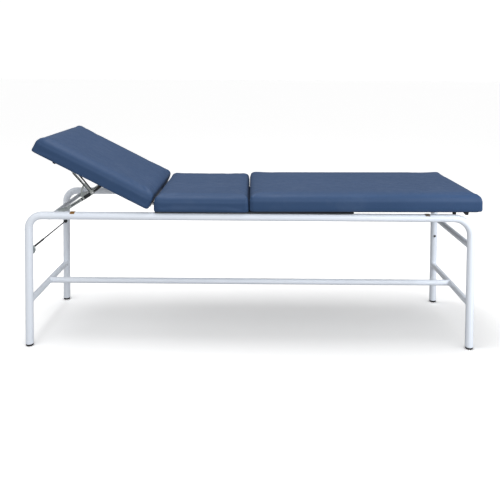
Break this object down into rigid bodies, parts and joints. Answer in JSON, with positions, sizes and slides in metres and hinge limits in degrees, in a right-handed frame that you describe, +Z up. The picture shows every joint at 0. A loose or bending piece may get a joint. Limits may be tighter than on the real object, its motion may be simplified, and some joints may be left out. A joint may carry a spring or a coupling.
{
  "type": "examination couch",
  "caption": "Padded examination couch on a bent-tube frame, with a tilting head section on ratchet arms and a sprung paper-roll bar.",
  "frame": {"origin": "on the floor, under the middle of the couch", "axes": "+X from the middle to the foot end, +Y to the far side, +Z up"},
  "size_m": [2.0079, 0.6, 0.9248],
  "materials": {
    "white_powder_coat": "white powder coat, slight orange peel, satin gloss",
    "navy_vinyl": "navy blue upholstery vinyl with a fine grain, satin",
    "black_rubber": "black moulded rubber, matt",
    "black_plastic": "black moulded plastic, satin",
    "zinc_steel": "zinc-plated steel, slightly green-grey, satin",
    "bright_steel": "bright zinc-plated steel",
    "dark_steel": "blackened steel rod, satin",
    "amber_plastic": "amber-brown moulded plastic",
    "dark_board": "ply board, dark lacquered"
  },
  "bodies": {
    "frame": {"side_frame_near": "white_powder_coat", "side_frame_far": "white_powder_coat", "head_cross_tube": "white_powder_coat", "foot_cross_tube": "white_powder_coat", "lower_cross_tube_head": "white_powder_coat", "lower_cross_tube_foot": "white_powder_coat", "long_stretcher": "white_powder_coat", "foot_near_head": "black_rubber", "foot_near_foot": "black_rubber", "leg_buffer_near": "black_rubber", "end_stop_near": "black_rubber", "leg_plug_near": "black_plastic", "frame_ear_near": "zinc_steel", "frame_pivot_pin_near": "bright_steel", "hinge_leaf_seat_near": "bright_steel", "hinge_pin_near": "bright_steel", "foot_far_head": "black_rubber", "foot_far_foot": "black_rubber", "leg_buffer_far": "black_rubber", "end_stop_far": "black_rubber", "leg_plug_far": "black_plastic", "frame_ear_far": "zinc_steel", "frame_pivot_pin_far": "bright_steel", "hinge_leaf_seat_far": "bright_steel", "hinge_pin_far": "bright_steel", "saddle_head": "amber_plastic", "saddle_foot": "amber_plastic", "roll_cup_near": "zinc_steel", "roll_socket_far": "black_plastic", "base_board": "dark_board", "seat_board": "dark_board", "leg_board": "dark_board", "seat_pad": "navy_vinyl", "leg_pad": "navy_vinyl"},
    "head_section": {"head_pad": "navy_vinyl", "head_board": "dark_board", "head_stop_near": "black_rubber", "head_ear_near": "zinc_steel", "head_pivot_pin_near": "bright_steel", "hinge_leaf_head_near": "bright_steel", "head_stop_far": "black_rubber", "head_ear_far": "zinc_steel", "head_pivot_pin_far": "bright_steel", "hinge_leaf_head_far": "bright_steel"},
    "lower_arms": {"knee_shaft": "black_plastic", "lower_arm_near": "zinc_steel", "release_housing_near": "black_plastic", "pawl_near": "black_plastic", "lower_arm_far": "zinc_steel", "release_housing_far": "black_plastic", "pawl_far": "black_plastic"},
    "upper_arms": {"upper_arm_near": "zinc_steel", "quadrant_near": "zinc_steel", "upper_arm_far": "zinc_steel", "quadrant_far": "zinc_steel"},
    "roll_bar": {"roll_sleeve": "black_plastic"},
    "roll_rod": {"roll_rod": "dark_steel"}
  },
  "joints": [
    {"name": "head_tilt", "type": "hinge", "parent": "frame", "child": "head_section", "pos_m": [-0.443, 0, 0.624], "axis": [0, 1, 0], "range_deg": [-26.67, 4]},
    {"name": "lower_arm_swing", "type": "hinge", "parent": "frame", "child": "lower_arms", "pos_m": [-0.84447, 0, 0.58888], "axis": [0, 1, 0], "range_deg": [-4.3, 27.6]},
    {"name": "upper_arm_swing", "type": "hinge", "parent": "head_section", "child": "upper_arms", "pos_m": [-0.81752, 0, 0.77281], "axis": [0, 1, 0], "range_deg": [-27.6, 4.3]},
    {"name": "roll_bar_spin", "type": "hinge", "parent": "frame", "child": "roll_bar", "pos_m": [-0.984, 0, 0.422], "axis": [0, 1, 0], "continuous": true},
    {"name": "roll_rod_slide", "type": "slide", "parent": "roll_bar", "child": "roll_rod", "axis": [0, -1, 0], "range_m": [0, 0.018], "stiffness_N_per_m": 120}
  ],
  "couplings": [
    {"joint": "lower_arm_swing", "follows": "head_tilt", "ratio": -1.0253},
    {"joint": "upper_arm_swing", "follows": "head_tilt", "ratio": 1.0253}
  ]
}
